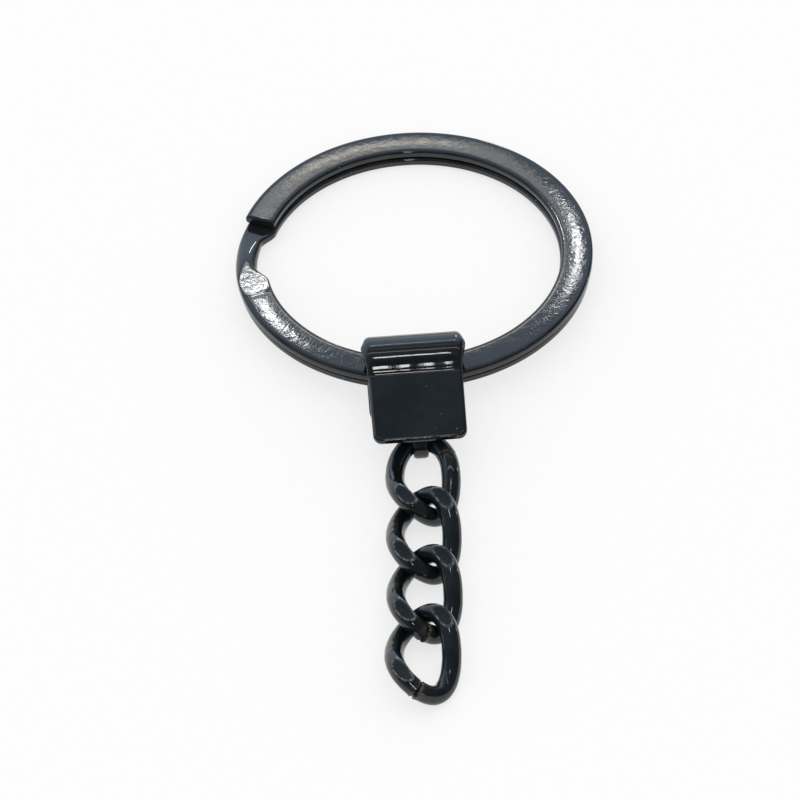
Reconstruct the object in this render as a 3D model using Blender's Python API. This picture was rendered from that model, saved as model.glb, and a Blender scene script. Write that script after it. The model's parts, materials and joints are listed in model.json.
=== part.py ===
"""Split key ring with a folded clasp and four curb chain links.

A flat split ring is coiled from one wire. A strap of sheet metal is folded round it, and the strap's narrow
neck hooks the first of four twisted chain links. Everything lies on a table at z = 0: the ring rests on its
far side and in the clasp's barrel, and the clasp and the chain lie towards -Y.
"""

import bisect
import math

import bmesh
import bpy
from mathutils import Matrix, Vector

MM = 0.001

# Split ring: one wire, wound clockwise from end A and pressed flat.
RING_RADIUS = 15.0 * MM
STRIP_WIDTH = 2.6 * MM
TURN_HEIGHT = 0.72 * MM
TURN_GAP = 0.06 * MM
STRIP_EDGE_RADIUS = 0.34 * MM
LOWER_TURN_INSET = 0.15 * MM
JOG_WIDTH = 1.8 * MM
JOG_HEIGHT = 1.34 * MM
JOG_EDGE_RADIUS = 0.6 * MM
END_A_ANGLE = 158.8
END_B_ANGLE = 189.5
JOG_START_ANGLE = 184.0
JOG_END_ANGLE = 160.0
JOG_TAPER = 8.0
RING_TURNS = 2
RING_STEP = 5.0
JOG_STEP = 2.0
RING_TILT = 3.4

# Clasp: a strap folded into a barrel round the ring and a hook round the first link.
SHEET = 0.55 * MM
SHEET_EDGE_RADIUS = 0.24 * MM
BARREL_BORE_RADIUS = 2.15 * MM
CLASP_X = -0.47 * MM
CLASP_YAW = 1.5
AXIS_INSET = 0.5 * MM
LEAF_LENGTH = 8.7 * MM
LEAF_HALF_WIDTH = 3.82 * MM
LEAF_CORNER = 0.8 * MM
BARREL_HALF_WIDTH = 3.92 * MM
BARREL_BULGE = 0.45 * MM
BULGE_SHARE = 0.45
SHOULDER_START = 2.6 * MM
SHOULDER_TO_HOOK = 0.3 * MM
NECK_HALF_WIDTH = 0.62 * MM
TAIL_HALF_WIDTH = 1.8 * MM
TAIL_LENGTH = 2.4 * MM
TAIL_FLARE = 1.44 * MM
HOOK_CLEARANCE = 0.15 * MM
CREASE_NORMAL = 135.0
CREASE_RADIUS = 1.0 * MM
LEAF_NORMAL = 96.5

# Curb chain: links of round wire, twisted a quarter turn and pressed.
WIRE_RADIUS = 0.8 * MM
LINK_HALF_WIDTH = 2.28 * MM
LINK_HALF_LENGTH = 3.92 * MM
LINK_SQUARENESS = 2.12
LINK_TWIST = 0.95 * MM
LINK_PITCH = 6.15 * MM
PRESS_DEPTH = 0.25 * MM
PRESS_SIZE = 40.0 * MM
LINK_SPLIT = 0.06 * MM
LINK_POINTS = 44
OUTLINE_POINTS = 2880
HOOK_Y = -20.35 * MM

# One row for each link: name, x of its centre, its yaw, the angle of its split, and whether its top is level.
LINKS = (
    ("chain_link_1", -0.22 * MM, 0.0, 42.0, True),
    ("chain_link_2", -0.42 * MM, -1.2, 96.0, False),
    ("chain_link_3", -0.60 * MM, -1.4, 268.0, False),
    ("chain_link_4", -0.98 * MM, -2.0, 262.0, False),
)

ENAMEL = (0.012, 0.013, 0.015, 1.0)
ARC_STEP = 10.0
END_EDGE = 0.07 * MM
SHARP_ANGLE = 40.0

BARREL_RADIUS = BARREL_BORE_RADIUS + SHEET
BARREL_MID_RADIUS = BARREL_BORE_RADIUS + SHEET / 2
HOOK_MID_RADIUS = WIRE_RADIUS + HOOK_CLEARANCE + SHEET / 2
STACK_HEIGHT = 2 * TURN_HEIGHT + TURN_GAP
CHAIN_HEIGHT = LINK_TWIST + WIRE_RADIUS - PRESS_DEPTH


def clear_scene():
    for old in list(bpy.data.objects):
        bpy.data.objects.remove(old, do_unlink=True)


def make_collection(name):
    collection = bpy.data.collections.new(name)
    bpy.context.scene.collection.children.link(collection)
    return collection


def enamel(name, roughness):
    material = bpy.data.materials.new(name)
    material.use_nodes = True
    shader = material.node_tree.nodes["Principled BSDF"]
    shader.inputs["Base Color"].default_value = ENAMEL
    shader.inputs["Roughness"].default_value = roughness
    shader.inputs["Metallic"].default_value = 0.0
    material.diffuse_color = ENAMEL
    return material


def smooth_step(value):
    clamped = min(max(value, 0.0), 1.0)
    return clamped * clamped * (3 - 2 * clamped)


def mix(start, end, share):
    return start + (end - start) * share


def rounded_section(half_width, half_height, corner, inner_bulge=0.0):
    """Points (across, up) of a rounded rectangle, counter-clockwise. A bulge widens its lower side."""
    points = []
    for centre_across, centre_up, first_angle in ((1, 1, 0), (-1, 1, 90), (-1, -1, 180), (1, -1, 270)):
        for step in (0, 45, 90):
            angle = math.radians(first_angle + step)
            across = centre_across * (half_width - corner) + corner * math.cos(angle)
            up = centre_up * (half_height - corner) + corner * math.sin(angle)
            lower_share = 0.5 - 0.5 * up / half_height
            points.append((across + centre_across * inner_bulge * lower_share, up))
    return points


def loft(name, sections, collection, material):
    """One closed body through a row of unlike sections with the same number of points."""
    mesh_builder = bmesh.new()
    rows = [[mesh_builder.verts.new(point) for point in section] for section in sections]
    count = len(rows[0])
    for row, next_row in zip(rows, rows[1:]):
        for index in range(count):
            following = (index + 1) % count
            mesh_builder.faces.new((row[index], row[following], next_row[following], next_row[index]))
    mesh_builder.faces.new(rows[0][::-1])
    mesh_builder.faces.new(rows[-1])
    bmesh.ops.recalc_face_normals(mesh_builder, faces=mesh_builder.faces)
    mesh = bpy.data.meshes.new(name)
    mesh_builder.to_mesh(mesh)
    mesh_builder.free()
    return add_object(name, mesh, collection, material)


def add_object(name, mesh, collection, material):
    mesh.materials.clear()
    mesh.materials.append(material)
    mesh.shade_smooth()
    mesh.set_sharp_from_angle(angle=math.radians(SHARP_ANGLE))
    part = bpy.data.objects.new(name, mesh)
    collection.objects.link(part)
    return part


def ring_angles():
    """Unwound angles along the wire, from end A down to end B, closer together where the wire steps down."""
    last = END_B_ANGLE - 360.0 * RING_TURNS
    angles = [END_A_ANGLE]
    while angles[-1] > last:
        near_jog = JOG_END_ANGLE - JOG_TAPER / 2 < angles[-1] + 360.0 < JOG_START_ANGLE + JOG_TAPER
        angles.append(angles[-1] - (JOG_STEP if near_jog else RING_STEP))
    angles[-1] = last
    return angles


def ring_section(angle, trim):
    """The wire's section at an unwound angle. Trim takes the edge off an end."""
    jog_start = JOG_START_ANGLE - 360.0
    jog_end = JOG_END_ANGLE - 360.0
    descent = smooth_step((jog_start - angle) / (jog_start - jog_end))
    narrowing = smooth_step((jog_start + JOG_TAPER / 2 - angle) / JOG_TAPER)
    widening = smooth_step((jog_end + JOG_TAPER - angle) / JOG_TAPER)
    roundness = narrowing * (1 - widening)
    width = mix(STRIP_WIDTH, JOG_WIDTH, roundness) - 2 * trim
    height = mix(TURN_HEIGHT, JOG_HEIGHT, roundness * 4 * descent * (1 - descent)) - 2 * trim
    corner = mix(STRIP_EDGE_RADIUS, JOG_EDGE_RADIUS, roundness * 4 * descent * (1 - descent)) - trim
    outer = RING_RADIUS - LOWER_TURN_INSET * descent - trim
    middle_radius = outer - width / 2
    middle_height = mix(-TURN_HEIGHT / 2, TURN_HEIGHT / 2 - STACK_HEIGHT, descent)
    turn = math.radians(angle)
    direction = Vector((math.cos(turn), math.sin(turn), 0))
    points = rounded_section(width / 2, height / 2, corner)
    middle = direction * middle_radius + Vector((0, 0, middle_height))
    return [middle + direction * across + Vector((0, 0, up)) for across, up in points]


def build_ring(collection, frame):
    """The coiled ring. Its own z = 0 is the top face of the upper turn."""
    angles = ring_angles()
    edge_angle = math.degrees(END_EDGE / RING_RADIUS)
    sections = [ring_section(angles[0], END_EDGE), ring_section(angles[0] - edge_angle, 0.0)]
    sections += [ring_section(angle, 0.0) for angle in angles[1:-1]]
    sections += [ring_section(angles[-1] + edge_angle, 0.0), ring_section(angles[-1], END_EDGE)]
    ring = loft("split_ring", sections, collection, enamel("ring_enamel", 0.12))
    low_edge = RING_RADIUS - LOWER_TURN_INSET - STRIP_EDGE_RADIUS
    tilt = math.radians(RING_TILT)
    lift = low_edge * math.sin(tilt) + (STACK_HEIGHT - STRIP_EDGE_RADIUS) * math.cos(tilt) + STRIP_EDGE_RADIUS
    ring.parent = frame
    ring.location = (0, 0, lift)
    ring.rotation_euler = (-tilt, 0, 0)
    return ring


def strap_profile():
    """Stations (y, z, normal angle, stretch, place) along the strap's middle, from leaf tip to tail tip.

    The origin is the barrel's axis. The normal angle is measured from +Y and points out of the fold.
    The stretch names the strap's region, and the place says how far along that region the station is.
    """
    hook_y = HOOK_Y - barrel_axis_y()
    hook_z = HOOK_MID_RADIUS - BARREL_MID_RADIUS
    crease_reach = BARREL_MID_RADIUS + CREASE_RADIUS
    crease_y = crease_reach * math.cos(math.radians(CREASE_NORMAL))
    crease_z = crease_reach * math.sin(math.radians(CREASE_NORMAL))
    leaf_y = crease_y - CREASE_RADIUS * math.cos(math.radians(LEAF_NORMAL))
    leaf_z = crease_z - CREASE_RADIUS * math.sin(math.radians(LEAF_NORMAL))
    leaf_slope = math.radians(LEAF_NORMAL - 90.0)
    stations = []
    tip_to_crease = (LEAF_LENGTH + leaf_y) / math.cos(leaf_slope)
    insets = [LEAF_CORNER * (1 - math.cos(math.radians(angle))) for angle in (0.0, 22.5, 45.0, 67.5, 90.0)]
    insets += [mix(LEAF_CORNER, tip_to_crease, share) for share in (0.25, 0.5, 0.75)]
    for inset in insets:
        run = tip_to_crease - inset
        y = leaf_y - run * math.cos(leaf_slope)
        z = leaf_z - run * math.sin(leaf_slope)
        stations.append((y, z, LEAF_NORMAL, "leaf", inset))
    crease_count = math.ceil((CREASE_NORMAL - LEAF_NORMAL) / ARC_STEP)
    for index in range(crease_count):
        normal = mix(LEAF_NORMAL, CREASE_NORMAL, index / crease_count)
        y = crease_y - CREASE_RADIUS * math.cos(math.radians(normal))
        z = crease_z - CREASE_RADIUS * math.sin(math.radians(normal))
        stations.append((y, z, normal, "crease", index / crease_count))
    arc_count = math.ceil((CREASE_NORMAL + 90.0) / ARC_STEP)
    for index in range(arc_count + 1):
        share = index / arc_count
        normal = mix(CREASE_NORMAL, -90.0, share)
        y = BARREL_MID_RADIUS * math.cos(math.radians(normal))
        z = BARREL_MID_RADIUS * math.sin(math.radians(normal))
        stations.append((y, z, normal, "barrel", share))
    back_count = 9
    for index in range(1, back_count):
        run = -hook_y * index / back_count
        stations.append((-run, -BARREL_MID_RADIUS, -90.0, "back", run))
    hook_count = round(180.0 / ARC_STEP)
    for index in range(hook_count + 1):
        normal = -90.0 - 180.0 * index / hook_count
        y = hook_y + HOOK_MID_RADIUS * math.cos(math.radians(normal))
        z = hook_z + HOOK_MID_RADIUS * math.sin(math.radians(normal))
        stations.append((y, z, normal, "hook", index / hook_count))
    tail_count = 5
    for index in range(1, tail_count + 1):
        run = TAIL_LENGTH * index / tail_count
        stations.append((hook_y + run, hook_z + HOOK_MID_RADIUS, -270.0, "tail", run))
    return stations


def strap_half_width(stretch, place):
    """Half the strap's width: full from crease to barrel, rounded off at the leaf's tip, narrow at the hook."""
    if stretch == "leaf":
        corner = max(LEAF_CORNER - place, 0.0)
        corner_cut = LEAF_CORNER - math.sqrt(LEAF_CORNER ** 2 - corner ** 2)
        return mix(LEAF_HALF_WIDTH, BARREL_HALF_WIDTH, place / LEAF_LENGTH) - corner_cut
    if stretch in ("crease", "barrel"):
        return BARREL_HALF_WIDTH
    if stretch == "back":
        hook_run = barrel_axis_y() - HOOK_Y
        shoulder = smooth_step((place - SHOULDER_START) / (hook_run - SHOULDER_START - SHOULDER_TO_HOOK))
        return mix(BARREL_HALF_WIDTH, NECK_HALF_WIDTH, shoulder)
    if stretch == "hook":
        return NECK_HALF_WIDTH
    return mix(NECK_HALF_WIDTH, TAIL_HALF_WIDTH, smooth_step(place / TAIL_FLARE))


def barrel_axis_y():
    return -(RING_RADIUS - STRIP_WIDTH / 2) + AXIS_INSET


def build_clasp(collection, frame):
    """The folded strap. Its origin is the barrel's axis, about which it swings on the ring."""
    stations = strap_profile()
    sections = []
    for order, (y, z, normal_angle, stretch, place) in enumerate(stations):
        normal = Vector((0, math.cos(math.radians(normal_angle)), math.sin(math.radians(normal_angle))))
        bulge_place = min(place / BULGE_SHARE, 1.0) if stretch == "barrel" else 0.0
        bulge = BARREL_BULGE * math.sin(math.pi * bulge_place) ** 2
        trim = END_EDGE if order in (0, len(stations) - 1) else 0.0
        half_width = strap_half_width(stretch, place) - trim
        points = rounded_section(half_width, SHEET / 2 - trim, SHEET_EDGE_RADIUS - trim, bulge)
        middle = Vector((0, y, z))
        sections.append([middle + Vector((across, 0, 0)) + normal * up for across, up in points])
    clasp = loft("clasp", sections, collection, enamel("clasp_enamel", 0.1))
    clasp.parent = frame
    clasp.location = (CLASP_X, barrel_axis_y(), BARREL_RADIUS)
    clasp.rotation_euler = (0, 0, math.radians(CLASP_YAW))
    return clasp


def link_outline():
    """Points (x, y) along a link's rounded outline, counter-clockwise from +X, and the run to each."""
    power = 2 / LINK_SQUARENESS
    points = []
    for index in range(OUTLINE_POINTS + 1):
        angle = 2 * math.pi * index / OUTLINE_POINTS
        across = math.cos(angle)
        along = math.sin(angle)
        x = LINK_HALF_WIDTH * math.copysign(abs(across) ** power, across)
        y = LINK_HALF_LENGTH * math.copysign(abs(along) ** power, along)
        points.append(Vector((x, y)))
    runs = [0.0]
    for first, second in zip(points, points[1:]):
        runs.append(runs[-1] + (second - first).length)
    return points, runs


def link_height(point, level_top):
    """The twist lifts the upper right and lower left of a link. A level top stays flat for the hook."""
    angle = math.atan2(point.y / LINK_HALF_LENGTH, point.x / LINK_HALF_WIDTH)
    height = LINK_TWIST * math.sin(2 * angle)
    if level_top:
        height *= (1 - math.sin(angle)) / (1 + math.sqrt(0.5))
    return height


def link_wire(split_angle, level_top, centre_y):
    """The link's centre line as an open row of evenly spaced points that starts and ends at its split."""
    points, runs = link_outline()
    perimeter = runs[-1]
    split = math.radians(split_angle)
    aim = Vector((math.cos(split), math.sin(split)))
    start = max(range(OUTLINE_POINTS), key=lambda index: points[index].normalized().dot(aim))
    wire = []
    for index in range(LINK_POINTS + 1):
        run = runs[start] + LINK_SPLIT / 2 + (perimeter - LINK_SPLIT) * index / LINK_POINTS
        after = bisect.bisect_right(runs, run % perimeter)
        share = (run % perimeter - runs[after - 1]) / (runs[after] - runs[after - 1])
        flat = points[after - 1].lerp(points[after], share)
        wire.append(Vector((flat.x, centre_y + flat.y, link_height(flat, level_top))))
    return wire


def wire_mesh(name, points):
    """A round wire through the points, as a mesh with its caps welded."""
    curve = bpy.data.curves.new(name + "_wire", "CURVE")
    curve.dimensions = "3D"
    curve.bevel_depth = WIRE_RADIUS
    curve.bevel_resolution = 4
    curve.use_fill_caps = True
    spline = curve.splines.new("POLY")
    spline.points.add(len(points) - 1)
    for control, point in zip(spline.points, points):
        control.co = (*point, 1.0)
    wire = bpy.data.objects.new(name + "_wire", curve)
    bpy.context.scene.collection.objects.link(wire)
    bpy.context.view_layer.update()
    evaluated = wire.evaluated_get(bpy.context.evaluated_depsgraph_get())
    mesh = bpy.data.meshes.new_from_object(evaluated)
    bpy.data.objects.remove(wire, do_unlink=True)
    weld = bmesh.new()
    weld.from_mesh(mesh)
    bmesh.ops.remove_doubles(weld, verts=weld.verts, dist=0.0001 * MM)
    bmesh.ops.recalc_face_normals(weld, faces=weld.faces)
    weld.to_mesh(mesh)
    weld.free()
    return mesh


def build_press(link, cutters):
    """The space between the two press plates, lying with the link, which keeps only what is inside it."""
    builder = bmesh.new()
    space = Matrix.Diagonal((PRESS_SIZE, PRESS_SIZE, 2 * CHAIN_HEIGHT, 1))
    bmesh.ops.create_cube(builder, size=1.0, matrix=space)
    mesh = bpy.data.meshes.new(link.name + "_press")
    builder.to_mesh(mesh)
    builder.free()
    press = bpy.data.objects.new(link.name + "_press", mesh)
    press.hide_render = True
    press.display_type = "WIRE"
    press.parent = link
    cutters.objects.link(press)
    pressing = link.modifiers.new("press", "BOOLEAN")
    pressing.operation = "INTERSECT"
    pressing.object = press


def build_link(number, collection, cutters, frame, material):
    """One link. Its origin is on the hinge axis between it and the piece that it hangs from."""
    name, centre_x, yaw, split_angle, level_top = LINKS[number]
    hinge_reach = LINK_HALF_LENGTH if number == 0 else LINK_PITCH / 2
    mesh = wire_mesh(name, link_wire(split_angle, level_top, -hinge_reach))
    link = add_object(name, mesh, collection, material)
    centre_y = HOOK_Y - LINK_HALF_LENGTH - LINK_PITCH * number
    turn = math.radians(yaw)
    hinge_x = centre_x - hinge_reach * math.sin(turn)
    hinge_y = centre_y + hinge_reach * math.cos(turn)
    link.parent = frame
    link.location = (hinge_x, hinge_y, CHAIN_HEIGHT)
    link.rotation_euler = (0, 0, turn)
    build_press(link, cutters)
    return link


def world_bounds(parts):
    bpy.context.view_layer.update()
    graph = bpy.context.evaluated_depsgraph_get()
    corners = []
    for part in parts:
        evaluated = part.evaluated_get(graph)
        corners += [evaluated.matrix_world @ vertex.co for vertex in evaluated.data.vertices]
    low = Vector([min(corner[axis] for corner in corners) for axis in range(3)])
    high = Vector([max(corner[axis] for corner in corners) for axis in range(3)])
    return low, high


def main():
    clear_scene()
    parts = make_collection("split_key_ring")
    cutters = make_collection("cutters")
    frame = bpy.data.objects.new("table_frame", None)
    parts.objects.link(frame)
    ring = build_ring(parts, frame)
    clasp = build_clasp(parts, frame)
    chain_enamel = enamel("chain_enamel", 0.14)
    links = [build_link(number, parts, cutters, frame, chain_enamel) for number in range(len(LINKS))]
    low, high = world_bounds([ring, clasp, *links])
    frame.location = (-(low.x + high.x) / 2, -(low.y + high.y) / 2, -low.z)
    bpy.context.view_layer.update()


main()
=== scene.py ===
"""Looks of the split key ring: a coiled flat ring, a folded clasp and four curb chain links in black enamel."""

import json
import math

import bpy
import numpy as np
from mathutils import Matrix, Vector


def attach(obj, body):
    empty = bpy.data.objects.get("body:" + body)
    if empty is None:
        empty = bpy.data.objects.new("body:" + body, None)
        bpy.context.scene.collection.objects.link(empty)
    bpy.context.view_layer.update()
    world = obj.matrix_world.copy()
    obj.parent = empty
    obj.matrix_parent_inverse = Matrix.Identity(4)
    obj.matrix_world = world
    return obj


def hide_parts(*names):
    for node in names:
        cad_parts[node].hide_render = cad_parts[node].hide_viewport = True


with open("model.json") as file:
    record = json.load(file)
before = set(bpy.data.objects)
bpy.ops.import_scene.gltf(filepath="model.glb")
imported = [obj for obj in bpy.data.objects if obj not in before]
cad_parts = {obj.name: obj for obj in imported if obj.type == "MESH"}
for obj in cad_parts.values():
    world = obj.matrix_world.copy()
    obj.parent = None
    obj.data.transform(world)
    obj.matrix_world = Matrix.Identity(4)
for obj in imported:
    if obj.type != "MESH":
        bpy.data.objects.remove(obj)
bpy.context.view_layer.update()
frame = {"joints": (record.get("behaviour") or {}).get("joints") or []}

MM = 0.001

# The ring, in its own frame: z = 0 is the top face of its upper turn.
RING_RADIUS = 15.0
STRIP_WIDTH = 2.6
TURN_HEIGHT = 0.72
TURN_GAP = 0.06
STRIP_EDGE = 0.22
STRIP_CROWN = 0.010
LOWER_TURN_INSET = 0.15
END_A_ANGLE = 158.8
END_B_ANGLE = 189.5
JOG_ANGLE = 179.5
JOG_REACH = 19.0
JOG_WIDTH = 1.8
NARROW_FROM = 12.0
NARROW_SPAN = 9.0
WIDEN_FROM = 20.0
WIDEN_SPAN = 8.0
ROUND_FLAT = 0.02
STEP_SOFTNESS = 0.008
FACE_UNEVENNESS = 0.0004
EDGE_UNEVENNESS = 0.003
RING_END_EDGE = 0.11
RING_END_STEPS = 4
RING_STEP = 0.8
RING_TILT = 3.4
RING_EDGE_RADIUS = 0.34
STACK_HEIGHT = 2 * TURN_HEIGHT + TURN_GAP

# The clasp, in a frame whose origin is its barrel's axis.
SHEET = 0.55
BARREL_BORE = 2.15
BARREL_MID = BARREL_BORE + SHEET / 2
CLASP_AXIS = (-0.47, -13.2, 2.7)
HOOK_Y = -20.35
HOOK_MID = 1.195
HOOK_SHEET = 0.4
LEAF_LENGTH = 8.7
LEAF_HALF_WIDTH = 3.82
LEAF_CORNER = 0.8
BARREL_HALF_WIDTH = 3.92
BARREL_BULGE = 0.45
BULGE_SHARE = 0.45
SHOULDER_START = 2.6
SHOULDER_TO_HOOK = 0.3
NECK_HALF_WIDTH = 0.62
TAIL_HALF_WIDTH = 1.8
TAIL_LENGTH = 2.4
TAIL_FLARE = 1.44
BORE_RELIEF = 0.1
CREASE_NORMAL = 135.0
CREASE_RADIUS = 1.0
LEAF_NORMAL = 96.5
STRAP_END_EDGE = 0.16
OUTER_ROLL = 0.42
BROAD_UNEVENNESS = 0.004
FINE_UNEVENNESS = 0.0012
INNER_EDGE = 0.12
HOOK_INNER_EDGE = 0.19

# The chain's links, each in a frame whose origin is its hinge.
WIRE_RADIUS = 0.785
LINK_HALF_WIDTH = 2.28
LINK_HALF_LENGTH = 3.92
LINK_SQUARENESS = 2.12
LINK_TWIST = 0.95
LINK_PITCH = 6.15
BURR = 0.22
BURR_REACH = 0.18
WIRE_END_EDGE = 0.12
WIRE_UNEVENNESS = 0.006
FACET_DEPTH = 0.02
FACET_SOFTNESS = 0.012
RIM_WIDTH = 0.035
RIM_HEIGHT = 0.018
SPLIT_REACH = 0.22
SPLIT_HALF_GAP = 0.035
RUN_COUNT = 221
AROUND_COUNT = 40
CHAIN_HEIGHT = 1.5
LINK_SPLITS = {"chain_link_1": 42.0, "chain_link_2": 96.0, "chain_link_3": 268.0, "chain_link_4": 262.0}

# The camera's aim is measured from the point on the table under the ring's centre.
VIEW_AIM = (-1.76, -14.37, 0.0)
VIEW_DISTANCE = 492.2
VIEW_ELEVATION = 48.26
VIEW_ROLL = -2.93
LENS = 268.9
SENSOR = 36.0

# Lamps. Each is put where it is mirrored at a place on the metal, in mm from the table point; sizes in metres.
WHITE = (1.0, 1.0, 1.0)
NEAR_FACE_HEIGHT = 2.6
FAR_FACE_HEIGHT = 1.9
BLOTCH_LENGTH = 0.018
BLOTCH_RADIANCE = 34.0
BLOTCH_LAMPS = ((-13.1, -6.8, 0.016), (14.0, -0.9, 0.012))
FAR_COLOUR = (1.0, 0.93, 0.80)
FAR_LAMPS = (
    (-9.0, 9.5, (0.13, 0.050), 2.0),
    (-3.5, 13.2, (0.05, 0.012), 7.0),
)
# One row for each lamp mirrored in the barrel: name, elevation of the normal there, size, radiance, colour.
BARREL_LAMPS = (
    ("top_lamp", 68.5, (0.08, 0.075), 17.0, WHITE),
    ("front_lamp", 50.5, (0.08, 0.19), 17.0, WHITE),
    ("far_glow", 86.0, (0.6, 0.16), 0.35, (1.0, 0.96, 0.90)),
    ("rim_strip", 78.0, (1.6, 0.06), 2.6, (1.0, 0.96, 0.90)),
)
# One row for each lamp mirrored at an edge: name, place, normal there, size, radiance.
EDGE_LAMPS = (
    ("strand_lamp", (-2.1, -23.6, 2.2), (0.12, 0.27, 0.95), (0.05, 0.16), 20.0),
    ("edge_lamp", (3.3, -18.0, 3.4), (0.75, -0.15, 0.65), (0.04, 0.35), 7.0),
)


def smooth_step(value):
    clamped = np.clip(value, 0.0, 1.0)
    return clamped * clamped * (3 - 2 * clamped)


def mix(start, end, share):
    return start + (end - start) * share


def soft_cap(value, cap, softness):
    """The value, kept under the cap, with a small round where the two meet."""
    return cap - softness * np.logaddexp(0.0, (cap - value) / softness)


def ripple(first, second, seed):
    """A smooth unevenness between about -1 and 1 over two lengths in units of its wavelength."""
    total = 0.0
    for order in range(1, 6):
        lean = 1.7 * order + 2.3 * seed
        across = math.cos(lean) * first + math.sin(lean) * second
        total = total + np.sin(2 * math.pi * across * (0.6 + 0.23 * order) + 3.1 * order * seed) / 2.6
    return total


def sweep(name, rows, attributes=None):
    """A closed mesh through rows of points in millimetres, with a flat cap at each end.

    Attributes are named arrays with one value for each point, for the materials to read.
    """
    rows = np.asarray(rows, float)
    row_count, column_count = rows.shape[:2]
    index = np.arange(row_count * column_count).reshape(row_count, column_count)
    following = np.roll(index, -1, axis=1)
    quads = np.stack([index[:-1], following[:-1], following[1:], index[1:]], axis=-1).reshape(-1, 4)
    faces = quads.tolist() + [index[0][::-1].tolist(), index[-1].tolist()]
    mesh = bpy.data.meshes.new(name)
    mesh.from_pydata((rows.reshape(-1, 3) * MM).tolist(), [], faces)
    mesh.update()
    if signed_volume(mesh) < 0:
        mesh.flip_normals()
    mesh.shade_smooth()
    mesh.set_sharp_from_angle(angle=math.radians(48))
    for label, values in (attributes or {}).items():
        layer = mesh.attributes.new(label, "FLOAT", "POINT")
        layer.data.foreach_set("value", np.asarray(values, np.float32).ravel())
    piece = bpy.data.objects.new(name, mesh)
    bpy.context.scene.collection.objects.link(piece)
    return piece


def signed_volume(mesh):
    mesh.calc_loop_triangles()
    points = np.array([vertex.co for vertex in mesh.vertices])
    corners = points[np.array([triangle.vertices for triangle in mesh.loop_triangles])]
    return np.einsum("ij,ij->i", corners[:, 0], np.cross(corners[:, 1], corners[:, 2])).sum()


def outline(half_width, half_height, edge_across, edge_up, arc_steps, flat_steps):
    """Points (across, up) of a rectangle with elliptical corners, from its upper right, counter-clockwise."""
    points = []
    for side, (sign_across, sign_up) in enumerate(((1, 1), (-1, 1), (-1, -1), (1, -1))):
        for step in range(arc_steps + 1):
            angle = math.radians(90.0 * side + 90.0 * step / arc_steps)
            across = sign_across * (half_width - edge_across) + edge_across * math.cos(angle)
            up = sign_up * (half_height - edge_up) + edge_up * math.sin(angle)
            points.append((across, up))
        if side in (0, 2):
            for step in range(1, flat_steps):
                across = sign_across * (half_width - edge_across) * (1 - 2 * step / flat_steps)
                points.append((across, sign_up * half_height))
    return np.array(points)


def end_rounding(edge, steps):
    """Pairs (trim, setback) that round off an end, from its face inwards."""
    angles = [math.radians(90.0 - 90.0 * step / steps) for step in range(steps + 1)]
    return [(edge * (1 - math.cos(angle)), edge * (1 - math.sin(angle))) for angle in angles]


def end_trim(from_end, edge):
    """How much thinner a piece is at a distance from its rounded end."""
    return edge * (1 - np.sqrt(np.maximum(1 - (1 - np.minimum(from_end / edge, 1.0)) ** 2, 0.0)))


# Ring


def ring_row(angle, trim):
    """The wire's section at an unwound angle: flat strip, but round where it steps down to the lower turn."""
    jog = JOG_ANGLE - 360.0
    offset = (angle - jog) / JOG_REACH
    inside = float(np.clip(1 - offset * offset, 0.0, 1.0)) ** 2
    slope = float(np.clip(offset, -1.0, 1.0))
    climb = 1.5 * slope - 0.5 * slope ** 3
    upper_middle = -TURN_HEIGHT / 2
    lower_middle = TURN_HEIGHT / 2 - STACK_HEIGHT
    middle_height = mix(lower_middle, upper_middle, 0.5 + 0.5 * climb)
    half_height = mix(TURN_HEIGHT, STACK_HEIGHT, inside) / 2
    narrowing = smooth_step((jog + NARROW_FROM - angle) / NARROW_SPAN)
    narrowing = narrowing * smooth_step((angle - jog + WIDEN_FROM) / WIDEN_SPAN)
    width = mix(STRIP_WIDTH, JOG_WIDTH, narrowing)
    roundness = float(narrowing * inside)
    edge_across = mix(STRIP_EDGE, width / 2 - ROUND_FLAT, roundness)
    edge_up = mix(STRIP_EDGE, half_height - ROUND_FLAT, roundness)
    outer = RING_RADIUS - LOWER_TURN_INSET * (0.5 - 0.5 * climb) - trim
    points = outline(width / 2 - trim, half_height - trim, edge_across, edge_up, 8, 8)
    share = np.clip(points[:, 0] / (width / 2), -1, 1)
    crown = STRIP_CROWN * share * share * np.sign(points[:, 1])
    up = middle_height + points[:, 1] - crown
    if inside > 0:
        up = soft_cap(up, -trim, STEP_SOFTNESS)
        up = -soft_cap(-up, STACK_HEIGHT - trim, STEP_SOFTNESS)
    turn = math.radians(angle)
    radius = outer - width / 2 + trim + points[:, 0]
    up = up + FACE_UNEVENNESS * ripple(angle / 26.0, points[:, 0] / 6.0, 1.0)
    radius = radius + EDGE_UNEVENNESS * ripple(angle / 30.0, 0.0, 2.0)
    return np.stack([radius * math.cos(turn), radius * math.sin(turn), up], axis=-1)


def ring_rows():
    last = END_B_ANGLE - 720.0
    turn_per_mm = 360.0 / (2 * math.pi * (RING_RADIUS - STRIP_WIDTH / 2))
    rounding = end_rounding(RING_END_EDGE, RING_END_STEPS)
    angles = [(END_A_ANGLE - setback * turn_per_mm, trim) for trim, setback in rounding]
    start = END_A_ANGLE - RING_END_EDGE * turn_per_mm
    stop = last + RING_END_EDGE * turn_per_mm
    count = round((start - stop) / RING_STEP)
    angles += [(mix(start, stop, step / count), 0.0) for step in range(1, count)]
    angles += [(last + setback * turn_per_mm, trim) for trim, setback in reversed(rounding)]
    return [ring_row(angle, trim) for angle, trim in angles]


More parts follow.
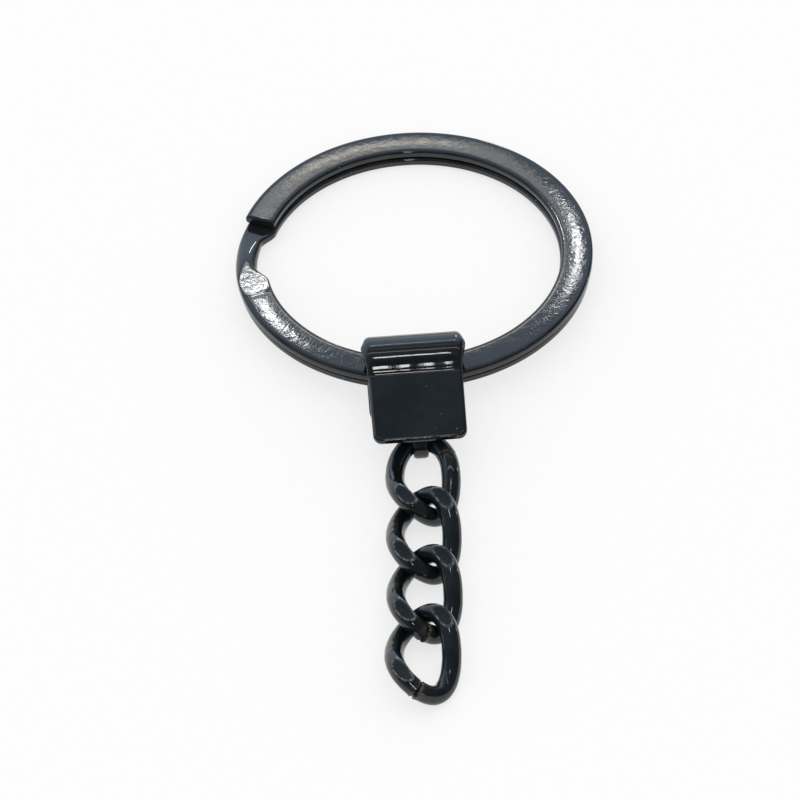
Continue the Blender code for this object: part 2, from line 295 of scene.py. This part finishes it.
def build_ring(table):
    rows = np.array(ring_rows())
    ring = sweep("ring_wire", rows)
    tilt = math.radians(RING_TILT)
    low_edge = RING_RADIUS - LOWER_TURN_INSET - RING_EDGE_RADIUS
    lift = low_edge * math.sin(tilt) + (STACK_HEIGHT - RING_EDGE_RADIUS) * math.cos(tilt) + RING_EDGE_RADIUS
    ring.location = table + Vector((0, 0, lift)) * MM
    ring.rotation_euler = (-tilt, 0, 0)
    return ring


# Clasp


def strap_stations():
    """Stations (y, z, normal angle, stretch, place) along the strap's middle, from leaf tip to tail tip."""
    hook_y = HOOK_Y - CLASP_AXIS[1]
    hook_z = CHAIN_HEIGHT - CLASP_AXIS[2]
    neck_lift = hook_z - HOOK_MID + BARREL_MID
    crease_y = (BARREL_MID + CREASE_RADIUS) * math.cos(math.radians(CREASE_NORMAL))
    crease_z = (BARREL_MID + CREASE_RADIUS) * math.sin(math.radians(CREASE_NORMAL))
    leaf_y = crease_y - CREASE_RADIUS * math.cos(math.radians(LEAF_NORMAL))
    leaf_z = crease_z - CREASE_RADIUS * math.sin(math.radians(LEAF_NORMAL))
    slope = math.radians(LEAF_NORMAL - 90.0)
    flat_run = (LEAF_LENGTH + leaf_y) / math.cos(slope)
    insets = [LEAF_CORNER * (1 - math.cos(math.radians(step * 9.0))) for step in range(11)]
    insets += [mix(LEAF_CORNER, flat_run, step / 24) for step in range(1, 24)]
    stations = []
    for inset in insets:
        run = flat_run - inset
        y = leaf_y - run * math.cos(slope)
        z = leaf_z - run * math.sin(slope)
        stations.append((y, z, LEAF_NORMAL, "leaf", inset))
    crease_steps = 16
    for step in range(crease_steps):
        normal = mix(LEAF_NORMAL, CREASE_NORMAL, step / crease_steps)
        y = crease_y - CREASE_RADIUS * math.cos(math.radians(normal))
        z = crease_z - CREASE_RADIUS * math.sin(math.radians(normal))
        stations.append((y, z, normal, "crease", step / crease_steps))
    arc_steps = 72
    for step in range(arc_steps + 1):
        normal = mix(CREASE_NORMAL, -90.0, step / arc_steps)
        y = BARREL_MID * math.cos(math.radians(normal))
        z = BARREL_MID * math.sin(math.radians(normal))
        stations.append((y, z, normal, "barrel", step / arc_steps))
    back_steps = 28
    for step in range(1, back_steps):
        run = -hook_y * step / back_steps
        lift = neck_lift * smooth_step((run - SHOULDER_START) / (-hook_y - SHOULDER_START))
        stations.append((-run, -BARREL_MID + lift, -90.0, "back", run))
    hook_steps = 40
    for step in range(hook_steps + 1):
        normal = -90.0 - 180.0 * step / hook_steps
        y = hook_y + HOOK_MID * math.cos(math.radians(normal))
        z = hook_z + HOOK_MID * math.sin(math.radians(normal))
        stations.append((y, z, normal, "hook", step / hook_steps))
    tail_steps = 16
    for step in range(1, tail_steps + 1):
        run = TAIL_LENGTH * step / tail_steps
        stations.append((hook_y + run, hook_z + HOOK_MID, -270.0, "tail", run))
    return stations


def strap_half_width(stretch, place):
    """Half the strap's width: full from crease to barrel, rounded at the leaf's tip, narrow at the hook."""
    if stretch == "leaf":
        corner = max(LEAF_CORNER - place, 0.0)
        corner_cut = LEAF_CORNER - math.sqrt(LEAF_CORNER ** 2 - corner ** 2)
        return mix(LEAF_HALF_WIDTH, BARREL_HALF_WIDTH, place / LEAF_LENGTH) - corner_cut
    if stretch in ("crease", "barrel"):
        return BARREL_HALF_WIDTH
    if stretch == "back":
        hook_run = CLASP_AXIS[1] - HOOK_Y
        shoulder = smooth_step((place - SHOULDER_START) / (hook_run - SHOULDER_START - SHOULDER_TO_HOOK))
        return mix(BARREL_HALF_WIDTH, NECK_HALF_WIDTH, shoulder)
    if stretch == "hook":
        return NECK_HALF_WIDTH
    return mix(NECK_HALF_WIDTH, TAIL_HALF_WIDTH, smooth_step(place / TAIL_FLARE))


def clasp_row(station, trim, travel):
    """The strap's section: its outer face has a broad rolled edge, its inner face a sharp one."""
    y, z, normal_angle, stretch, place = station
    half_width = strap_half_width(stretch, place) - trim
    hook_run = CLASP_AXIS[1] - HOOK_Y
    if stretch == "back":
        thinning = smooth_step((place - SHOULDER_START) / (hook_run - SHOULDER_START))
    else:
        thinning = 1.0 if stretch in ("hook", "tail") else 0.0
    sheet = mix(SHEET, HOOK_SHEET, thinning)
    roll = min(OUTER_ROLL, half_width * 0.7)
    outer_half = outline(half_width, sheet / 2 - trim, roll, sheet * 0.46, 7, 16)
    inner_edge = mix(INNER_EDGE, HOOK_INNER_EDGE, thinning)
    inner_half = outline(half_width, sheet / 2 - trim, inner_edge, inner_edge, 7, 16)
    points = np.where(outer_half[:, 1:] >= 0, outer_half, inner_half)
    bulge_place = min(place / BULGE_SHARE, 1.0) if stretch == "barrel" else 0.0
    bulge = BARREL_BULGE * math.sin(math.pi * bulge_place) ** 2
    if stretch == "barrel":
        relief = BORE_RELIEF * min(1.0, 6 * place, 6 * (1 - place))
        points[:, 1] = np.maximum(points[:, 1], relief - sheet / 2)
    lower_share = 0.5 - points[:, 1] / SHEET
    across = points[:, 0] + np.sign(points[:, 0]) * bulge * lower_share
    outer_share = np.clip(points[:, 1] / SHEET + 0.5, 0, 1)
    unevenness = BROAD_UNEVENNESS * ripple(across / 1.2, travel / 3.0, 3.0)
    unevenness = unevenness + FINE_UNEVENNESS * ripple(across / 0.6, travel / 1.5, 4.0)
    up = points[:, 1] + outer_share * unevenness
    angle = math.radians(normal_angle)
    return np.stack([across, y + up * math.cos(angle), z + up * math.sin(angle)], axis=-1)


def build_clasp(hinge, turn):
    stations = strap_stations()
    steps = [math.dist(first[:2], second[:2]) for first, second in zip(stations, stations[1:])]
    travels = np.concatenate([[0.0], np.cumsum(steps)])
    sections = []
    for station, travel in zip(stations, travels):
        from_end = min(travel, travels[-1] - travel)
        sections.append(clasp_row(station, end_trim(from_end, STRAP_END_EDGE), travel))
    clasp = sweep("clasp_strap", sections)
    clasp.location = hinge
    clasp.rotation_euler = (0, 0, turn)
    return clasp


# Chain


def link_points(count):
    """Evenly spaced points (x, y) round a link's outline, counter-clockwise from +X, and its perimeter."""
    fine = np.linspace(0, 2 * math.pi, 4001)
    power = 2 / LINK_SQUARENESS
    x = LINK_HALF_WIDTH * np.sign(np.cos(fine)) * np.abs(np.cos(fine)) ** power
    y = LINK_HALF_LENGTH * np.sign(np.sin(fine)) * np.abs(np.sin(fine)) ** power
    runs = np.concatenate([[0], np.cumsum(np.hypot(np.diff(x), np.diff(y)))])
    targets = np.arange(count) / count * runs[-1]
    return np.interp(targets, runs, x), np.interp(targets, runs, y), runs[-1]


def link_height(x, y, level_top):
    """The twist lifts the upper right and lower left of a link. A level top stays flat for the hook."""
    angle = np.arctan2(y / LINK_HALF_LENGTH, x / LINK_HALF_WIDTH)
    height = LINK_TWIST * np.sin(2 * angle)
    if level_top:
        height = height * (1 - np.sin(angle)) / (1 + math.sqrt(0.5))
    return height


def link_line(split_angle, level_top):
    """The link's centre line from one side of its split to the other, and the run along it."""
    fine = 1440
    x, y, perimeter = link_points(fine)
    aim = math.radians(split_angle)
    start = int(np.argmax((x * math.cos(aim) + y * math.sin(aim)) / np.hypot(x, y)))
    x = np.roll(x, -start)
    y = np.roll(y, -start)
    run = np.linspace(SPLIT_HALF_GAP, perimeter - SPLIT_HALF_GAP, RUN_COUNT)
    along = np.arange(fine + 1) / fine * perimeter
    x = np.interp(run, along, np.append(x, x[0]))
    y = np.interp(run, along, np.append(y, y[0]))
    return np.stack([x, y, link_height(x, y, level_top)], axis=-1), run


def build_link(name, hinge, turn, number):
    line, run = link_line(LINK_SPLITS[name], number == 0)
    kernel = np.ones(7) / 7
    padded = np.pad(line, ((3, 3), (0, 0)), mode="edge")
    smoothed = np.stack([np.convolve(padded[:, axis], kernel, mode="valid") for axis in range(3)], axis=-1)
    smoothed[:4] = line[:4]
    smoothed[-4:] = line[-4:]
    tangents = np.gradient(smoothed, axis=0)
    tangents /= np.linalg.norm(tangents, axis=1)[:, None]
    sideways = np.cross(tangents, (0.0, 0.0, 1.0))
    sideways /= np.linalg.norm(sideways, axis=1)[:, None]
    upright = np.cross(sideways, tangents)
    angles = np.linspace(0, 2 * math.pi, AROUND_COUNT + 1)[:-1]
    ends = np.minimum(run - run[0], run[-1] - run)
    radius = WIRE_RADIUS - end_trim(ends, WIRE_END_EDGE)[:, None]
    radius = radius + WIRE_UNEVENNESS * ripple(run[:, None] / 1.6, angles[None, :] / math.pi, 5.0 + number)
    around = np.cos(angles)[None, :, None] * sideways[:, None, :]
    around = around + np.sin(angles)[None, :, None] * upright[:, None, :]
    rows = smoothed[:, None, :] + radius[..., None] * around
    if number:
        offset = rows - smoothed[:, None, :]
        outward = np.clip(offset[..., 1] * math.copysign(1.0, line[0, 1]) / WIRE_RADIUS, 0.0, 1.0) ** 2
        rows += offset * (BURR * outward * np.exp(-((ends / BURR_REACH) ** 2))[:, None])[..., None]
    height = rows[..., 2]
    # The facet rims: this band raises their edge, and the chain's enamel paints them a lighter grey, partly
    # edge rubbing and partly a painted highlight standing in for the glints along the rims.
    rim = np.exp(-(((np.abs(height) - CHAIN_HEIGHT) / RIM_WIDTH) ** 2))
    press = CHAIN_HEIGHT - FACET_DEPTH
    pressed = soft_cap(height, press, FACET_SOFTNESS)
    pressed = -soft_cap(-pressed, press, FACET_SOFTNESS)
    rows[..., 2] = pressed + np.sign(height) * RIM_HEIGHT * rim
    reach = LINK_HALF_LENGTH if number == 0 else LINK_PITCH / 2
    rows[..., 1] -= reach
    near_split = np.exp(-((ends / SPLIT_REACH) ** 2))[:, None] * np.ones_like(angles)[None, :]
    link = sweep(name.replace("chain_link", "link") + "_wire", rows, {"rim": rim, "split": near_split})
    link.location = hinge
    link.rotation_euler = (0, 0, turn)
    return link


# Materials


def add_node(material, kind, **settings):
    made = material.node_tree.nodes.new(kind)
    for key, value in settings.items():
        setattr(made, key, value)
    return made


def connect(material, source, target):
    material.node_tree.links.new(source, target)


def noise_of(material, coordinates, size_mm, detail, distortion=0.0):
    """The factor of a noise whose patches are about size_mm across."""
    noise = add_node(material, "ShaderNodeTexNoise")
    noise.inputs["Scale"].default_value = 1.0 / (size_mm * MM)
    noise.inputs["Detail"].default_value = detail
    noise.inputs["Distortion"].default_value = distortion
    connect(material, coordinates, noise.inputs["Vector"])
    return noise.outputs["Fac"]


def remap(material, source, low, high, to_low, to_high):
    ranged = add_node(material, "ShaderNodeMapRange", interpolation_type="SMOOTHSTEP")
    ranged.inputs["From Min"].default_value = low
    ranged.inputs["From Max"].default_value = high
    ranged.inputs["To Min"].default_value = to_low
    ranged.inputs["To Max"].default_value = to_high
    connect(material, source, ranged.inputs["Value"])
    return ranged.outputs["Result"]


def multiply(material, first, second):
    product = add_node(material, "ShaderNodeMath", operation="MULTIPLY")
    connect(material, first, product.inputs[0])
    connect(material, second, product.inputs[1])
    return product.outputs["Value"]


def blend_colour(material, share, first, second):
    """First and second are colours or sockets."""
    mixer = add_node(material, "ShaderNodeMix", data_type="RGBA")
    connect(material, share, mixer.inputs["Factor"])
    for source, target in ((first, mixer.inputs[6]), (second, mixer.inputs[7])):
        if isinstance(source, tuple):
            target.default_value = (*source, 1.0)
        else:
            connect(material, source, target)
    return mixer.outputs[2]


def bump(material, height, distance_mm, previous=None):
    bumped = add_node(material, "ShaderNodeBump")
    bumped.inputs["Strength"].default_value = 1.0
    bumped.inputs["Distance"].default_value = distance_mm * MM
    connect(material, height, bumped.inputs["Height"])
    if previous is not None:
        connect(material, previous, bumped.inputs["Normal"])
    return bumped.outputs["Normal"]


def specks(material, coordinates, spacing_mm, size_mm):
    """Sparse round dots: 1 on a dot, 0 elsewhere."""
    cells = add_node(material, "ShaderNodeTexVoronoi")
    cells.inputs["Scale"].default_value = 1.0 / (spacing_mm * MM)
    connect(material, coordinates, cells.inputs["Vector"])
    reach = size_mm / spacing_mm
    return remap(material, cells.outputs["Distance"], reach, 0.4 * reach, 0.0, 1.0)


def scuff_and_glint(material, coordinates, label, colour, scuff_and_glint_colour):
    """The colour, blended in broken patches towards a second colour where the mesh carries the named attribute:
    a dull scuff near a link's split, and along the facet rims a lighter grey that is partly edge rubbing and
    partly a painted highlight.
    """
    mark = add_node(material, "ShaderNodeAttribute", attribute_name=label).outputs["Fac"]
    patches = remap(material, noise_of(material, coordinates, 0.35, 3.0), 0.42, 0.6, 0.15, 1.0)
    return blend_colour(material, multiply(material, mark, patches), colour, scuff_and_glint_colour)


def enamel(name, deep, thin, roughness, peel, grain, scuffs_and_glints=()):
    """Glossy black enamel with an orange peel, fine grain, cloudy gloss, a little dust and any named marks:
    scuffs, and the painted highlight along the chain's facet rims.
    """
    material = bpy.data.materials.new(name)
    material.use_nodes = True
    shader = material.node_tree.nodes["Principled BSDF"]
    coordinates = add_node(material, "ShaderNodeTexCoord").outputs["Object"]
    cloud = noise_of(material, coordinates, 2.4, 3.0)
    colour = blend_colour(material, remap(material, cloud, 0.35, 0.7, 0.0, 1.0), deep, thin)
    dust_patches = remap(material, noise_of(material, coordinates, 3.1, 1.0), 0.5, 0.64, 0.0, 1.0)
    dust = multiply(material, specks(material, coordinates, 0.62, 0.06), dust_patches)
    for label, scuff_and_glint_colour in scuffs_and_glints:
        colour = scuff_and_glint(material, coordinates, label, colour, scuff_and_glint_colour)
    colour = blend_colour(material, dust, colour, (0.22, 0.22, 0.21))
    connect(material, colour, shader.inputs["Base Color"])
    haze = noise_of(material, coordinates, 0.9, 4.0)
    gloss = remap(material, haze, 0.3, 0.75, roughness * 0.8, roughness * 1.7)
    rough = add_node(material, "ShaderNodeMath", operation="MAXIMUM")
    connect(material, gloss, rough.inputs[0])
    connect(material, remap(material, dust, 0.0, 1.0, 0.0, 0.6), rough.inputs[1])
    connect(material, rough.outputs["Value"], shader.inputs["Roughness"])
    shader.inputs["IOR"].default_value = 1.52
    shader.inputs["Metallic"].default_value = 0.0
    peel_normal = bump(material, noise_of(material, coordinates, 0.46, 3.0, 0.5), peel)
    grain_normal = bump(material, noise_of(material, coordinates, 0.12, 2.0), grain, peel_normal)
    connect(material, grain_normal, shader.inputs["Normal"])
    return material


def dress(piece, material, body, node):
    piece.data.materials.append(material)
    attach(piece, body)
    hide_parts(node)


# Stage


def build_floor():
    mesh = bpy.data.meshes.new("paper_floor")
    reach = 4.0
    corners = [(-reach, -reach, 0), (reach, -reach, 0), (reach, reach, 0), (-reach, reach, 0)]
    mesh.from_pydata(corners, [], [(0, 1, 2, 3)])
    floor = bpy.data.objects.new("paper_floor", mesh)
    bpy.context.scene.collection.objects.link(floor)
    material = bpy.data.materials.new("white_paper")
    material.use_nodes = True
    shader = material.node_tree.nodes["Principled BSDF"]
    coordinates = add_node(material, "ShaderNodeTexCoord").outputs["Object"]
    fibre = noise_of(material, coordinates, 0.8, 3.0)
    connect(material, blend_colour(material, fibre, (0.27, 0.27, 0.27), (0.30, 0.30, 0.30)),
            shader.inputs["Base Color"])
    shader.inputs["Roughness"].default_value = 0.85
    shader.inputs["Specular IOR Level"].default_value = 0.2
    shader.inputs["Emission Color"].default_value = (1.0, 1.0, 1.0, 1.0)
    shader.inputs["Emission Strength"].default_value = 0.70
    mesh.materials.append(material)


def build_camera(table):
    elevation = math.radians(VIEW_ELEVATION)
    roll = math.radians(VIEW_ROLL)
    forward = Vector((0, math.cos(elevation), -math.sin(elevation)))
    level = Vector((1, 0, 0))
    upward = Vector((0, math.sin(elevation), math.cos(elevation)))
    right = math.cos(roll) * level + math.sin(roll) * upward
    up = -math.sin(roll) * level + math.cos(roll) * upward
    data = bpy.data.cameras.new("view_camera")
    data.lens = LENS
    data.sensor_width = SENSOR
    data.clip_start = 0.02
    data.clip_end = 20.0
    camera = bpy.data.objects.new("view_camera", data)
    bpy.context.scene.collection.objects.link(camera)
    place = table + Vector(VIEW_AIM) * MM - forward * VIEW_DISTANCE * MM
    camera.matrix_world = Matrix.Translation(place) @ Matrix((right, up, -forward)).transposed().to_4x4()
    bpy.context.scene.camera = camera
    return place


def build_lamp(name, eye, point, normal, size, radiance, colour, distance=1.2):
    """A flat lamp placed so that it is mirrored, seen from the camera, at a point with this normal."""
    sight = (point - eye).normalized()
    normal = normal.normalized()
    away = sight - 2 * sight.dot(normal) * normal
    data = bpy.data.lights.new(name, "AREA")
    data.shape = "RECTANGLE"
    data.size = size[0]
    data.size_y = size[1]
    data.energy = radiance * math.pi * size[0] * size[1]
    data.color = colour
    lamp = bpy.data.objects.new(name, data)
    bpy.context.scene.collection.objects.link(lamp)
    lamp.location = point + away * distance
    lamp.rotation_mode = "QUATERNION"
    lamp.rotation_quaternion = (-away).to_track_quat("-Z", "Y")
    lamp.visible_camera = False
    return lamp


def build_world():
    """The enamelled parts mirror a dim room with a bluish band low behind; everything else sees even pale
    light.
    """
    world = bpy.data.worlds.new("room")
    bpy.context.scene.world = world
    world.use_nodes = True
    tree = world.node_tree
    background = tree.nodes["Background"]
    output = tree.nodes["World Output"]
    direction = add_node(world, "ShaderNodeTexCoord").outputs["Generated"]

    def towards(vector, edge_low, edge_high):
        dot = add_node(world, "ShaderNodeVectorMath", operation="DOT_PRODUCT")
        connect(world, direction, dot.inputs[0])
        dot.inputs[1].default_value = Vector(vector).normalized()
        return remap(world, dot.outputs["Value"], edge_low, edge_high, 0.0, 1.0)

    behind = multiply(world, towards((-0.3, 1.0, 0.5), 0.45, 0.85), towards((0, 0, -1), -0.77, -0.665))
    room = blend_colour(world, behind, (0.21, 0.27, 0.32), (0.84, 1.06, 1.34))
    room = blend_colour(world, towards((1, 0, 0.35), 0.35, 0.9), room, (0.12, 0.12, 0.13))
    room = blend_colour(world, towards((0, -0.70, 0.72), 0.72, 0.93), room, (0.10, 0.10, 0.11))
    connect(world, room, background.inputs["Color"])
    pale = add_node(world, "ShaderNodeBackground")
    pale.inputs["Color"].default_value = (1.0, 1.0, 1.0, 1.0)
    pale.inputs["Strength"].default_value = 0.86
    path = add_node(world, "ShaderNodeLightPath")
    chooser = add_node(world, "ShaderNodeMixShader")
    connect(world, path.outputs["Is Glossy Ray"], chooser.inputs["Fac"])
    connect(world, pale.outputs["Background"], chooser.inputs[1])
    connect(world, background.outputs["Background"], chooser.inputs[2])
    connect(world, chooser.outputs["Shader"], output.inputs["Surface"])


def light_the_ring(eye, table):
    tilt = math.radians(RING_TILT)
    face = Vector((0, math.sin(tilt), math.cos(tilt)))
    for index, (x, y, width) in enumerate(BLOTCH_LAMPS):
        point = table + Vector((x, y, NEAR_FACE_HEIGHT)) * MM
        build_lamp(f"back_lamp_{index}", eye, point, face, (width, BLOTCH_LENGTH), BLOTCH_RADIANCE, WHITE)
    for index, (x, y, size, radiance) in enumerate(FAR_LAMPS):
        point = table + Vector((x, y, FAR_FACE_HEIGHT)) * MM
        build_lamp(f"back_wall_{index}", eye, point, face, size, radiance, FAR_COLOUR)
    axis = table + Vector(CLASP_AXIS) * MM
    for name, elevation, size, radiance, colour in BARREL_LAMPS:
        angle = math.radians(elevation)
        normal = Vector((0, -math.cos(angle), math.sin(angle)))
        build_lamp(name, eye, axis + normal * CLASP_AXIS[2] * MM, normal, size, radiance, colour)
    for name, place, normal, size, radiance in EDGE_LAMPS:
        build_lamp(name, eye, table + Vector(place) * MM, Vector(normal), size, radiance, WHITE)


table = Vector(frame["joints"][0]["pos_m"]) - Vector(CLASP_AXIS) * MM
eye = build_camera(table)
build_floor()
build_world()
light_the_ring(eye, table)
bpy.context.scene.view_settings.view_transform = "Standard"

ring_enamel = enamel("ring_enamel", (0.006, 0.007, 0.008), (0.012, 0.013, 0.015), 0.045, 0.0027, 0.0001)
clasp_enamel = enamel("clasp_enamel", (0.004, 0.005, 0.006), (0.008, 0.010, 0.012), 0.05, 0.0006, 0.00005)
# The chain's facet rims are painted a lighter grey, partly edge rubbing and partly a painted highlight; near
# the split the colour turns to a dull scuff.
chain_enamel = enamel("chain_enamel", (0.003, 0.005, 0.006), (0.008, 0.011, 0.013), 0.07, 0.0010, 0.0001,
                      (("rim", (0.17, 0.18, 0.19)), ("split", (0.07, 0.06, 0.05))))

dress(build_ring(table), ring_enamel, "ring", "split_ring")
for number, joint in enumerate(frame["joints"]):
    hinge = Vector(joint["pos_m"])
    turn = math.atan2(joint["axis"][1], joint["axis"][0])
    if joint["child"] == "clasp":
        dress(build_clasp(hinge, turn), clasp_enamel, "clasp", "clasp")
    else:
        node = f"chain_link_{number}"
        dress(build_link(node, hinge, turn, number - 1), chain_enamel, joint["child"], node)
